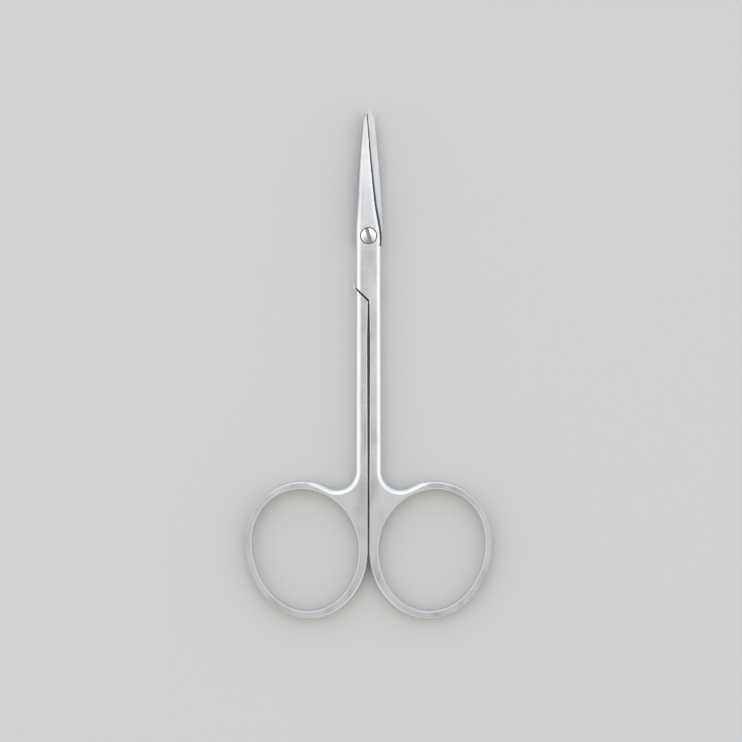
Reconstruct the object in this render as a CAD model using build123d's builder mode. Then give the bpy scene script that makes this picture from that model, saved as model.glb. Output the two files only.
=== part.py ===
from build123d import *
import math
import os

# Plastic surgery scissors, closed. The origin is on the pivot axis, on the flat underside that
# the scissors lie on. +Y points to the tips and +Z to the screw's head. Sizes in millimetres.
# Each half is first forged in a frame of its own: the origin on the pivot axis at the mating
# face, +Z out of the metal's outer side, the blade's spine towards -X and the shank towards +X.

# Joint, where the two laps cross
half_thickness = 1.6
joint_half_width = 2.4
outer_rounding = 1.0

# Shoulder, where the lap of one half ends against the shank of the other
shoulder_distance = 10.15
shoulder_angle = 43.7
shoulder_gap = 0.3
shoulder_corner_radius = 0.3

# Blades: the reach of each tip from the pivot, and what differs between the two
upper_reach = 23.85
lower_reach = 24.2
upper_nose_offset = -0.33
lower_nose_offset = 0.03
upper_tip_width = 0.0
lower_tip_width = 0.17
upper_heel_width = 2.5
lower_heel_width = 2.42
upper_heel_swell = 0.0
lower_heel_swell = 0.22
swell_share = 0.75
bevel_start = -2.0
nose_radius = 0.16
nose_length = 2.45
nose_root_width = 1.18
nose_slant = 0.8
tip_thickness = 0.6
thinning_power = 1.5
tip_rounding = 0.45
hollow_depth = 0.07
hollow_half_width = 1.25
hollow_half_length = 9.5
hollow_centre = (-0.42, 10.5, 0.0)
hollow_lean = (0.0, 0.0, 1.6)

# Shanks and the narrow gap between them
shank_taper_angle = 0.42
shank_spread = 0.1
shoulder_half_gap = 0.12
middle_half_gap = 0.26
ring_half_gap = 0.12
gap_flare_length = 7.0
edge_break = 0.22

# Finger rings
ring_centre_y = -60.2
opening_half_width = 10.22
opening_half_length = 11.83
ring_side_wall = 1.47
ring_inner_wall = 1.734
ring_end_wall = 1.32
ring_lean = 13.4
outside_lean = 11.4
ring_egg = 0.012
ring_egg_angle = 95.0
web_radius = 3.6
rounding_run_out = 10.0

# Pivot screw and its hole
thread_radius = 1.0
running_clearance = 0.03
head_radius = 1.5
mouth_radius = 1.65
mouth_depth = 0.3
head_sink = 0.06
head_dome = 0.14
head_edge_break = 0.08
thread_end_chamfer = 0.15
slot_width = 0.66
slot_depth = 0.5
slot_turn = 15.4

# Spur at the left edge of the lower half, beside the shoulder
spur_reach = 0.65
spur_tip_reach = 0.45
spur_inner_reach = 0.22
spur_belly_rise = 0.42
spur_length = 1.25
spur_root_width = 0.45
spur_thickness = 1.1

parting_height = half_thickness
full_thickness = 2 * half_thickness
tool_margin = 1.0
lap_length = shoulder_distance - tool_margin
clearance_radius = thread_radius + running_clearance
shoulder_slope = math.tan(math.radians(shoulder_angle))
shoulder_shift = shoulder_gap / 2 / math.cos(math.radians(shoulder_angle))


def shoulder_y(x, shift):
    """The y of the shoulder's slanted line at x, moved along Y by shift."""
    return -shoulder_distance - (x + joint_half_width) * shoulder_slope + shift


def ring_oval(half_width, half_length, lean, inner_side, points=16):
    """Points round an oval that leans outwards and is slightly egg-shaped.

    The first point is the one nearest to the other ring, and its x is inner_side.
    """

    def point_at(angle):
        own_angle = angle + math.radians(lean)
        radius = half_width * half_length / math.hypot(
            half_length * math.cos(own_angle), half_width * math.sin(own_angle)
        )
        radius *= 1 - ring_egg * math.cos(3 * (angle - math.radians(ring_egg_angle)))
        return Vector(radius * math.cos(angle), ring_centre_y + radius * math.sin(angle))

    start = min((math.radians(degree / 4) for degree in range(1440)), key=lambda a: point_at(a).X)
    shift = Vector(inner_side - point_at(start).X, 0)
    return [shift + point_at(start + 2 * math.pi * index / points) for index in range(points)]


def forge_handle():
    """The shank and the finger ring of one half, with sharp rims."""
    ring_outline = ring_oval(
        opening_half_width + ring_side_wall,
        opening_half_length + ring_end_wall,
        outside_lean,
        ring_half_gap,
    )
    opening_outline = ring_oval(
        opening_half_width, opening_half_length, ring_lean, ring_half_gap + ring_inner_wall
    )
    strip_end = ring_centre_y + opening_half_length / 2
    flare_start = shoulder_y(shoulder_half_gap, -shoulder_gap)
    flare_end = flare_start - gap_flare_length
    outside = joint_half_width + tool_margin

    with BuildPart() as handle:
        # Shank and ring at full thickness
        with BuildSketch(Plane.XY.offset(-half_thickness)):
            with BuildLine():
                Polyline(
                    (shoulder_half_gap, -lap_length),
                    (joint_half_width, -lap_length),
                    (joint_half_width + shank_spread, strip_end),
                    (joint_half_width, ring_outline[0].Y),
                    ring_outline[0],
                    (middle_half_gap, flare_end),
                    (shoulder_half_gap, flare_start),
                    close=True,
                )
            make_face()
            with BuildLine():
                Spline(*ring_outline, periodic=True)
            make_face()
        extrude(amount=full_thickness)

        # Web that sweeps from the shank's outer edge into the ring
        web_corner = Vector(joint_half_width + shank_spread, strip_end, 0)
        fillet(handle.edges().filter_by(Axis.Z).sort_by_distance(web_corner)[0], web_radius)

        # Slanted shoulder that faces the other half's lap, and room for that lap
        with BuildSketch():
            with BuildLine():
                Polyline(
                    (-outside, 0),
                    (outside, 0),
                    (outside, shoulder_y(-outside, -shoulder_shift)),
                    (-outside, shoulder_y(outside, -shoulder_shift)),
                    close=True,
                )
            make_face()
        extrude(amount=-full_thickness, mode=Mode.SUBTRACT)
        shank_corner_y = shoulder_y(-shoulder_half_gap, -shoulder_shift)
        shank_corner = Vector(shoulder_half_gap, shank_corner_y, -half_thickness)
        corner_edge = handle.edges().filter_by(Axis.Z).sort_by_distance(shank_corner)[0]
        fillet(corner_edge, shoulder_corner_radius)

        # Both faces slope down towards the ring's end
        for side in (1, -1):
            face_normal = Vector(0, 0, side).rotate(Axis.X, side * shank_taper_angle)
            face_origin = (0, -lap_length, side * half_thickness)
            sloped_face = Plane(origin=face_origin, x_dir=(1, 0, 0), z_dir=face_normal)
            split(bisect_by=sloped_face, keep=Keep.BOTTOM)

        # Finger opening
        with BuildSketch(Plane.XY.offset(-full_thickness)):
            with BuildLine():
                Spline(*opening_outline, periodic=True)
            make_face()
        extrude(amount=2 * full_thickness, mode=Mode.SUBTRACT)
    return handle.part


def rounding_cutter(handle):
    """Cuts the broad rounding of the shank's outer rim, and runs out of the metal on the ring."""
    top_rim = handle.faces().sort_by(SortBy.AREA)[-2:].sort_by(Axis.Z)[-1].edges()
    shank_rim = top_rim.sort_by_distance((joint_half_width, -2 * lap_length, half_thickness))[0]
    shank_end = (shank_rim.vertices().sort_by(Axis.Y)[0]).center()
    web_rim = top_rim.filter_by(GeomType.LINE, reverse=True).sort_by_distance(shank_end)[0]
    web_end = (web_rim.vertices().sort_by(Axis.X)[-1]).center()
    web_direction = web_rim.tangent_at(web_end)
    if web_direction.X < 0:
        web_direction = -web_direction
    with BuildLine() as route:
        add(shank_rim)
        add(web_rim)
        Line(web_end, web_end + web_direction * rounding_run_out)
    start = Plane(
        origin=(joint_half_width, -lap_length, half_thickness), x_dir=(1, 0, 0), z_dir=(0, -1, 0)
    )
    with BuildPart() as cutter:
        with BuildSketch(start):
            with BuildLine():
                Polyline(
                    (-outer_rounding, 0),
                    (-outer_rounding, tool_margin / 2),
                    (tool_margin / 2, tool_margin / 2),
                    (tool_margin / 2, -outer_rounding),
                    (0, -outer_rounding),
                )
                RadiusArc((0, -outer_rounding), (-outer_rounding, 0), -outer_rounding)
            make_face()
        sweep(path=route.wires()[0])
    return cutter.part


def blade_section(y, spine, edge, bevel, thickness, rounding):
    """One cross section of a blade: flat mating face, rounded back, steep bevel."""
    rounding = min(rounding, (spine + edge - bevel) / 2.2, thickness / 1.1)
    with BuildSketch(Plane(origin=(0, y, 0), x_dir=(1, 0, 0), z_dir=(0, -1, 0))) as section:
        with BuildLine():
            Polyline(
                (edge, 0),
                (edge - bevel, thickness),
                (-spine, thickness),
                (-spine, 0),
                close=True,
            )
        make_face()
        fillet(section.vertices().group_by(Axis.Y)[-1], rounding)
    return section.sketch


def blade_sections(reach, heel_width, heel_swell, tip_width):
    """Sections of the blade, from the heel of its cutting edge to just past the tip."""
    blade_length = reach - bevel_start
    nose_start = reach - nose_length
    end_share = (blade_length + tool_margin / 2) / (blade_length - nose_length)
    # Each station: its share of the way to the nose, the width of the cutting side as a share
    # of the joint's, and the run of the bevel. The second is the heel, the widest place
    stations = (
        (0.0, 1.0, 0.0),
        (0.12, heel_width / joint_half_width, 0.30),
        (0.23, 0.875, 0.42),
        (0.34, 0.675, 0.36),
        (0.49, 0.485, 0.27),
        (0.66, 0.305, 0.24),
        (0.83, 0.15, 0.22),
        (1.0, 0.0, 0.19),
        (end_share, -0.067, 0.12),
    )
    sections = []
    for share, edge_share, bevel in stations:
        y = bevel_start + share * (nose_start - bevel_start)
        spine = joint_half_width - (joint_half_width - nose_root_width) * share**2
        swell = heel_swell * math.sin(math.pi * math.sqrt(min(share / swell_share, 1)))
        tip_share = (y - bevel_start) / blade_length
        thickness = half_thickness - (half_thickness - tip_thickness) * tip_share**thinning_power
        rounding = outer_rounding - (outer_rounding - tip_rounding) * tip_share
        edge = edge_share * joint_half_width + tip_width * share**3
        sections.append(blade_section(y, spine + swell, edge, bevel, thickness, rounding))
    return sections


def hollow_cutter():
    """A shallow hollow ground into the blade's mating face, fading out on all sides."""
    across = hollow_half_width**2 / (2 * hollow_depth)
    along = hollow_half_length**2 / (2 * hollow_depth)
    wheel_axis = Axis((0, 0, hollow_depth - along), (1, 0, 0))
    arc = 3 * math.degrees(hollow_half_length / along)
    with BuildPart() as cutter:
        with BuildSketch(Plane.XZ):
            with Locations((0, hollow_depth - across)):
                Circle(across)
        revolve(axis=wheel_axis, revolution_arc=arc)
    return cutter.part.rotate(wheel_axis, -arc / 2)


def nose_outline(reach, nose_offset, tip_width, height):
    """The blade's outline at its nose: the spine curves over to the cutting edge in a small
    round. It draws back towards the heel with height, so that the nose's wall slants."""
    nose_start = reach - nose_length
    nose = (nose_offset, reach + nose_radius)
    spine_lean = 2 * (joint_half_width - nose_root_width) / (nose_start - bevel_start)
    drawn_back = Vector(0, -nose_slant * height, height)
    with BuildSketch(Plane(origin=drawn_back)) as outline:
        with BuildLine():
            TangentArc((-nose_root_width, nose_start), nose, tangent=(spine_lean, 1))
            Polyline(
                nose,
                (tip_width, reach - nose_length / 2),
                (joint_half_width, nose_start),
                (joint_half_width, bevel_start),
                (-nose_root_width, bevel_start),
                (-nose_root_width, nose_start),
            )
        make_face()
        fillet(outline.vertices().sort_by_distance(nose)[0], nose_radius)
    return outline.sketch


def beyond_nose(reach, nose_offset, tip_width):
    """What is ground away from the blade's end to leave its pointed nose."""
    nose_start = reach - nose_length
    with BuildPart() as waste:
        with Locations((0, nose_start, 0)):
            Box(
                4 * joint_half_width,
                2 * nose_length,
                full_thickness - tool_margin / 2,
                align=(Align.CENTER, Align.MIN, Align.CENTER),
            )
        low = nose_outline(reach, nose_offset, tip_width, -half_thickness)
        high = nose_outline(reach, nose_offset, tip_width, half_thickness)
        loft([low, high], ruled=True, mode=Mode.SUBTRACT)
    return waste.part


def joint_lap():
    """The straight bar across the joint, ending in the slanted shoulder."""
    lap_end = shoulder_y(shoulder_half_gap, shoulder_shift)
    outside = joint_half_width + tool_margin
    section = blade_section(
        lap_end, joint_half_width, joint_half_width, 0, half_thickness, outer_rounding
    )
    with BuildPart() as lap:
        extrude(section, amount=bevel_start - lap_end, dir=(0, 1, 0))
        with BuildSketch():
            with BuildLine():
                Polyline(
                    (-outside, shoulder_y(-outside, shoulder_shift)),
                    (shoulder_half_gap, lap_end),
                    (shoulder_half_gap, lap_end - tool_margin),
                    (-outside, lap_end - tool_margin),
                    close=True,
                )
            make_face()
        extrude(amount=half_thickness, mode=Mode.SUBTRACT)
    return lap.part


def forge_half(reach, nose_offset, tip_width, heel_width, heel_swell):
    """One half of the scissors in its own frame, without its hole for the screw."""
    handle = forge_handle()
    cutter = rounding_cutter(handle)
    with BuildPart() as half:
        add(handle)

        # Broken rims of the shank, the ring and the finger opening, on both faces
        rims = half.faces().sort_by(SortBy.AREA)[-2:].edges()
        rims = rims.filter_by(lambda rim: rim.center().Y < -lap_length - edge_break / 2)
        chamfer(rims, edge_break)
        add(cutter, mode=Mode.SUBTRACT)
        add(cutter.mirror(Plane.XY), mode=Mode.SUBTRACT)

        # Lap across the joint, then the blade
        add(joint_lap())
        loft(blade_sections(reach, heel_width, heel_swell, tip_width))
        with Locations(Location(hollow_centre, hollow_lean)):
            add(hollow_cutter(), mode=Mode.SUBTRACT)

        add(beyond_nose(reach, nose_offset, tip_width), mode=Mode.SUBTRACT)
    return half.part


upper_forging = forge_half(
    upper_reach, upper_nose_offset, upper_tip_width, upper_heel_width, upper_heel_swell
)
lower_forging = forge_half(
    lower_reach, lower_nose_offset, lower_tip_width, lower_heel_width, lower_heel_swell
)

with BuildPart() as upper_half:
    with Locations((0, 0, parting_height)):
        add(upper_forging)
    # Countersink for the screw's head, with a short straight mouth, and the running hole
    with Locations((0, 0, full_thickness - mouth_depth)):
        CounterSinkHole(clearance_radius, mouth_radius, counter_sink_angle=90)
upper_half.part.label = "upper_half"

with BuildPart() as lower_half:
    # The same forging turned over, so that its blade crosses beneath to the other side
    with Locations(Location((0, 0, parting_height), (0, 180, 0))):
        add(lower_forging)
    Hole(thread_radius)

    # Spur: a thin horn that stands off the lap's side, rooted on the shank's corner
    side = -joint_half_width
    root = -shoulder_distance - spur_root_width
    tip = (side - spur_tip_reach, -shoulder_distance + spur_length)
    belly_y = -shoulder_distance + spur_belly_rise
    with BuildSketch(Plane.XY.offset(parting_height)):
        with BuildLine():
            ThreePointArc((side, root), (side - spur_reach, belly_y), tip)
            Polyline(
                tip,
                (side - spur_inner_reach, belly_y),
                (side, -shoulder_distance),
                (side + edge_break, root),
                (side, root),
            )
        make_face()
    extrude(amount=-spur_thickness)
lower_half.part.label = "lower_half"

with BuildPart() as pivot_screw:
    # The cone keeps the running clearance to its seat in the upper half
    seat_height = full_thickness - mouth_depth
    cone_root = mouth_radius - running_clearance * math.sqrt(2)
    rim_height = full_thickness - head_sink
    with BuildSketch(Plane.XZ) as profile:
        with BuildLine():
            Polyline(
                (0, rim_height + head_dome),
                (0, 0),
                (thread_radius - thread_end_chamfer, 0),
                (thread_radius, thread_end_chamfer),
                (thread_radius, seat_height - (cone_root - thread_radius)),
                (head_radius, seat_height - (cone_root - head_radius)),
                (head_radius, rim_height),
            )
            TangentArc((0, rim_height + head_dome), (head_radius, rim_height), tangent=(1, 0))
        make_face()
        chamfer(profile.vertices().sort_by_distance((head_radius, rim_height))[0], head_edge_break)
    revolve(axis=Axis.Z)

    # Screwdriver slot across the domed head
    with BuildSketch(Plane.XY.offset(rim_height - slot_depth)):
        Rectangle(slot_width, 4 * head_radius, rotation=slot_turn)
    extrude(amount=2 * slot_depth, mode=Mode.SUBTRACT)
pivot_screw.part.label = "pivot_screw"

os.makedirs("parts", exist_ok=True)
export_step(upper_half.part, "parts/upper_half.step")
export_step(lower_half.part, "parts/lower_half.step")
export_step(pivot_screw.part, "parts/pivot_screw.step")
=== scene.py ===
import math
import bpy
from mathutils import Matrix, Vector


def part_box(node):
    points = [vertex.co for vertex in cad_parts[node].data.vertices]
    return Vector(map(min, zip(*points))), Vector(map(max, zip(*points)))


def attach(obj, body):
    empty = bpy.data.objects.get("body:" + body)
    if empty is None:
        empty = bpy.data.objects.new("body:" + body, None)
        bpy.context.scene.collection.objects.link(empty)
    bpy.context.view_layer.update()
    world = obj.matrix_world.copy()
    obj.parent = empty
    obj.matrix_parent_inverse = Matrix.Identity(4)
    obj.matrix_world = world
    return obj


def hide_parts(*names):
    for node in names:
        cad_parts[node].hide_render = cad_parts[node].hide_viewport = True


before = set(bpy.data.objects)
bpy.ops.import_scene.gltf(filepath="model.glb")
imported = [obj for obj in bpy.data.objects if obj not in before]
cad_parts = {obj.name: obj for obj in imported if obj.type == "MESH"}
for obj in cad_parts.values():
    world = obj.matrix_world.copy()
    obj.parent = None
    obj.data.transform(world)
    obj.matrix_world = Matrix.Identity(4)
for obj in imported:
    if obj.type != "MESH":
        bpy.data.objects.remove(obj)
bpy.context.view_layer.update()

from types import SimpleNamespace

import bpy
from mathutils import Vector

bl_info = {
    "name": "Plastic surgery scissors",
    "version": (1, 0, 0),
    "blender": (4, 5, 0),
    "location": "3D View > Sidebar > Scissors",
    "description": "Finishes, pivot screw and studio for ring-handled plastic surgery scissors",
    "category": "Add Mesh",
}

MM = 0.001
SCREW_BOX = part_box("pivot_screw")

# The screw's grid: columns round the axis, and rows along its thread and over its crown
AROUND = 72
THREAD_ROWS = 60
RUN_OUT_ROWS = 8
CROWN_ROWS = 8

# Vertices nearer than this are one: at the grid's seam and poles, and along the saw cut
SEAM_GAP = 0.0001 * MM
SLIVER_GAP = 0.015 * MM

# How far a face's middle may lie past the slot's wall or floor and still belong to the slot
WALL_MARGIN = 0.0001 * MM
FLOOR_MARGIN = 0.01 * MM

# Edges of the screw that bend less than this are shaded smoothly
SOFT_EDGE = math.radians(28)

# Inputs of the screw's tree, named as its properties are
SCREW_INPUTS = (
    "Head radius", "Rim height", "Crown", "Edge break", "Neck height", "Thread radius",
    "Thread pitch", "Thread depth", "End chamfer", "Slot width", "Slot depth", "Slot turn",
)

# How upright a face's normal is, from 0 to 1: more than this on a level face, less on a wall,
# and the stretches over which a bevel and a slanting rim fade into the faces beside them
LEVEL_FACE = 0.9
WALL_FACE = 0.4
STEEP_FACE = (0.7, 0.8)
SLANTING_FACE = (0.75, 0.995)

# How far a face's normal points along the scissors, from 0 to 1: less than this on a bevel,
# and the stretch over which the back of a blade fades into its nose
SIDE_FACE = 0.35
BACK_FACE = (0.15, 0.4)

# How far from the parting plane a mating face may lie
MATING_BAND = 0.12 * MM

# Places along the scissors, from the pivot towards the tips, where a finish, a painted highlight or
# a painted shade starts or fades
BEVEL_START = -2 * MM
BLADE_START = (2 * MM, 8 * MM)
WALL_START = (-14 * MM, -10 * MM)
RING_START = (-50 * MM, -46 * MM)

# Places across the scissors: the ends of the painted shade in the shoulder gap, and where the
# painted shade on the walls fades
GAP_ENDS = (-2.5 * MM, -0.05 * MM)
WALL_REACH = (0.3 * MM, 1.8 * MM)

# Values that a noise hardly leaves, and those of clouds and wheel marks added together
NOISE_RANGE = (0.3, 0.7)
MOTTLE_RANGE = (0.55, 0.95)

# Distance after which the wave texture repeats at a scale of 1
WAVE_REPEAT = math.tau / 20

# Stretches of the light's direction over which one part of the studio light fades into another
OVERHEAD_BLEND = (-0.12, 0.24)
CORNER_BLEND = (0.3, 0.75)
SIDE_BLEND = (0.12, 0.4)
HORIZON_BLEND = (0.08, 0.4)
TINT_BLEND = (-0.15, 0.15)

# Width of the camera's sensor in millimetres
SENSOR_WIDTH = 36.0


def linear(hex_colour):
    """An sRGB hex colour as linear red, green, blue and alpha."""
    values = []
    for start in (1, 3, 5):
        share = int(hex_colour[start:start + 2], 16) / 255
        values.append(share / 12.92 if share <= 0.04045 else ((share + 0.055) / 1.055) ** 2.4)
    return (*values, 1.0)


def add_node(tree, kind, inputs=(), **settings):
    """Adds a node. inputs pairs a socket with a value, a socket to link, or a node to link."""
    node = tree.nodes.new(kind)
    for name, value in settings.items():
        setattr(node, name, value)
    for socket, value in dict(inputs).items():
        if isinstance(value, bpy.types.Node):
            value = next(out for out in value.outputs if out.enabled)
        if isinstance(value, bpy.types.NodeSocket):
            tree.links.new(value, node.inputs[socket])
        else:
            node.inputs[socket].default_value = value
    return node


def new_material(name):
    """An empty node material and its tree."""
    material = bpy.data.materials.new(name)
    material.use_nodes = True
    material.node_tree.nodes.clear()
    return material, material.node_tree


def assign(obj, material):
    """Puts one material on every face of an object."""
    obj.data.materials.clear()
    obj.data.materials.append(material)


def bare_metal(tree, colour, roughness, bump):
    """Ends a material's tree with a surface of bare metal."""
    surface = add_node(
        tree, "ShaderNodeBsdfPrincipled",
        {
            "Base Color": colour.outputs[2],
            "Metallic": 1.0,
            "Roughness": roughness,
            "Normal": bump,
        },
    )
    add_node(tree, "ShaderNodeOutputMaterial", {"Surface": surface})


def steel_spot(tree, finish):
    """Where a spot of the steel lies and which way it faces, as the masks below read it."""
    place = add_node(tree, "ShaderNodeTexCoord").outputs["Object"]
    facing = add_node(tree, "ShaderNodeNewGeometry").outputs["Normal"]
    x, y, z = add_node(tree, "ShaderNodeSeparateXYZ", {0: place}).outputs
    sideways, lengthwise, upwards = add_node(tree, "ShaderNodeSeparateXYZ", {0: facing}).outputs
    above = add_node(tree, "ShaderNodeMath", {0: z, 1: finish.parting_height}, operation="SUBTRACT")
    cutting = add_node(tree, "ShaderNodeMath", {0: above, 1: sideways}, operation="MULTIPLY")
    return SimpleNamespace(
        place=place, x=x, y=y, above=above,
        distance=add_node(tree, "ShaderNodeMath", {0: above}, operation="ABSOLUTE"),
        upright=add_node(tree, "ShaderNodeMath", {0: upwards}, operation="ABSOLUTE"),
        ahead=add_node(tree, "ShaderNodeMath", {0: lengthwise}, operation="ABSOLUTE"),
        inner=add_node(tree, "ShaderNodeMath", {0: cutting, 1: 0.0}, operation="GREATER_THAN"),
    )


def mating_faces(tree, spot):
    """Mask of the level faces in the plane where the two halves meet."""
    near = add_node(
        tree, "ShaderNodeMath", {0: spot.distance, 1: MATING_BAND}, operation="LESS_THAN"
    )
    level = add_node(
        tree, "ShaderNodeMath", {0: spot.upright, 1: LEVEL_FACE}, operation="GREATER_THAN"
    )
    return add_node(tree, "ShaderNodeMath", {0: near, 1: level}, operation="MULTIPLY")


def countersink(tree, spot, finish):
    """Mask of the slanting faces close round the pivot, which hold the screw's head."""
    flat_place = add_node(tree, "ShaderNodeCombineXYZ", {0: spot.x, 1: spot.y})
    from_pivot = add_node(
        tree, "ShaderNodeVectorMath", {0: flat_place}, operation="LENGTH"
    ).outputs["Value"]
    within = add_node(
        tree, "ShaderNodeMath", {0: from_pivot, 1: finish.mouth_radius}, operation="LESS_THAN"
    )
    sloping = add_node(
        tree, "ShaderNodeMath", {0: spot.upright, 1: LEVEL_FACE}, operation="LESS_THAN"
    )
    return add_node(tree, "ShaderNodeMath", {0: within, 1: sloping}, operation="MULTIPLY")


def bevel_shade_mask(tree, spot, mouth):
    """Mask of painted shade on the blades' steep faces beside the cutting edge, outside the screw's
    mouth.
    """
    bevel = add_node(tree, "ShaderNodeMath", {0: spot.y, 1: BEVEL_START}, operation="GREATER_THAN")
    steep = add_node(
        tree, "ShaderNodeMapRange",
        {0: spot.upright, 1: STEEP_FACE[0], 2: STEEP_FACE[1], 3: 1.0, 4: 0.0},
    )
    aside = add_node(tree, "ShaderNodeMath", {0: spot.ahead, 1: SIDE_FACE}, operation="LESS_THAN")
    elsewhere = add_node(tree, "ShaderNodeMath", {0: 1.0, 1: mouth}, operation="SUBTRACT")
    for mask in (steep, spot.inner, aside, elsewhere):
        bevel = add_node(tree, "ShaderNodeMath", {0: bevel, 1: mask}, operation="MULTIPLY")
    return bevel


def shoulder_gap_shade(tree, spot, finish):
    """Mask of painted shade in the gap at the joint's shoulder: a slanted line across the upper
    half, which is mirrored on the lower one."""
    half = add_node(tree, "ShaderNodeMath", {0: spot.above}, operation="SIGN")
    across = add_node(tree, "ShaderNodeMath", {0: spot.x, 1: half}, operation="MULTIPLY")
    rise = add_node(
        tree, "ShaderNodeMath", {0: across, 1: math.tan(finish.shoulder_angle), 2: spot.y},
        operation="MULTIPLY_ADD",
    )
    past = add_node(tree, "ShaderNodeMath", {0: rise, 1: finish.shoulder_line}, operation="ADD")
    past = add_node(tree, "ShaderNodeMath", {0: past}, operation="ABSOLUTE")
    reach = finish.recess_width / 2 / math.cos(finish.shoulder_angle)
    gap = add_node(tree, "ShaderNodeMath", {0: past, 1: reach}, operation="LESS_THAN")
    below = add_node(
        tree, "ShaderNodeMath", {0: spot.distance, 1: finish.recess_height}, operation="LESS_THAN"
    )
    start = add_node(tree, "ShaderNodeMath", {0: across, 1: GAP_ENDS[0]}, operation="GREATER_THAN")
    end = add_node(tree, "ShaderNodeMath", {0: across, 1: GAP_ENDS[1]}, operation="LESS_THAN")
    for mask in (below, start, end):
        gap = add_node(tree, "ShaderNodeMath", {0: gap, 1: mask}, operation="MULTIPLY")
    return gap


def shank_wall_shade(tree, spot):
    """Mask of painted shade on the upright walls between the shanks, close to the middle and behind
    the joint.
    """
    wall = add_node(tree, "ShaderNodeMath", {0: spot.upright, 1: WALL_FACE}, operation="LESS_THAN")
    middle = add_node(tree, "ShaderNodeMath", {0: spot.x}, operation="ABSOLUTE")
    inside = add_node(
        tree, "ShaderNodeMapRange", {0: middle, 1: WALL_REACH[0], 2: WALL_REACH[1], 3: 1.0, 4: 0.0}
    )
    behind = add_node(
        tree, "ShaderNodeMapRange", {0: spot.y, 1: WALL_START[0], 2: WALL_START[1], 3: 1.0, 4: 0.0}
    )
    for mask in (inside, behind):
        wall = add_node(tree, "ShaderNodeMath", {0: wall, 1: mask}, operation="MULTIPLY")
    return wall


def rims_and_rings(tree, spot, finish):
    """Masks of a painted highlight on the rims, of painted shade on darker, rougher edges, and of
    the rings.

    The painted highlight lies on the slanting rims and roundings behind the blades, the blades'
    inner edges and their noses. The painted shade lies on the backs of the blades, and in part on
    the rims of the rings; the same mask makes them rougher.
    """
    fades = []
    for value, (start, end) in (
        (spot.upright, SLANTING_FACE), (spot.ahead, BACK_FACE),
        (spot.y, BLADE_START), (spot.y, RING_START),
    ):
        fades.append(add_node(
            tree, "ShaderNodeMapRange", {0: value, 1: start, 2: end, 3: 1.0, 4: 0.0}
        ))
    slant, aside, behind, rings = fades
    nose = add_node(tree, "ShaderNodeMath", {0: 1.0, 1: aside}, operation="SUBTRACT")
    highlit = add_node(tree, "ShaderNodeMath", {0: behind, 1: spot.inner}, operation="MAXIMUM")
    highlit = add_node(tree, "ShaderNodeMath", {0: highlit, 1: nose}, operation="MAXIMUM")
    # Painted highlight: slanting faces behind the blades, on the inner edges and on the noses are
    # lightened
    painted_highlight = add_node(tree, "ShaderNodeMath", {0: slant, 1: highlit}, operation="MULTIPLY")
    # Painted shade, with added roughness: the backs of the blades, and in part the rings' rims
    dull_and_shaded = add_node(tree, "ShaderNodeMath", {0: slant, 1: painted_highlight}, operation="SUBTRACT")
    dull_and_shaded = add_node(tree, "ShaderNodeMath", {0: dull_and_shaded, 1: aside}, operation="MULTIPLY")
    rims = add_node(tree, "ShaderNodeMath", {0: slant, 1: rings}, operation="MULTIPLY")
    rims = add_node(tree, "ShaderNodeMath", {0: rims, 1: finish.ring_rim_shade}, operation="MULTIPLY")
    dull_and_shaded = add_node(tree, "ShaderNodeMath", {0: dull_and_shaded, 1: rims}, operation="MAXIMUM")
    return painted_highlight, dull_and_shaded, rings


def satin_patterns(tree, finish, place):
    """Grain of the satin finish, clouds left by hand work, marks of the wheel, ground lines.

    The marks and the lines are finer on the real steel, and are drawn wide enough to show.
    """
    patterns = []
    for size, detail, roughness in (
        ((finish.satin_grain,) * 3, 3.0, 0.6),
        ((finish.cloud_width, finish.cloud_length, finish.cloud_width), 3.0, 0.5),
        ((finish.brush_length, finish.brush_spacing, finish.brush_spacing), 4.0, 0.7),
        ((finish.grind_spacing, finish.grind_length, finish.grind_spacing), 3.0, 0.7),
    ):
        scale = [1 / length for length in size]
        scaled = add_node(tree, "ShaderNodeMapping", {"Vector": place, "Scale": scale})
        patterns.append(add_node(
            tree, "ShaderNodeTexNoise",
            {"Vector": scaled, "Scale": 1.0, "Detail": detail, "Roughness": roughness},
        ))
    return patterns


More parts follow.
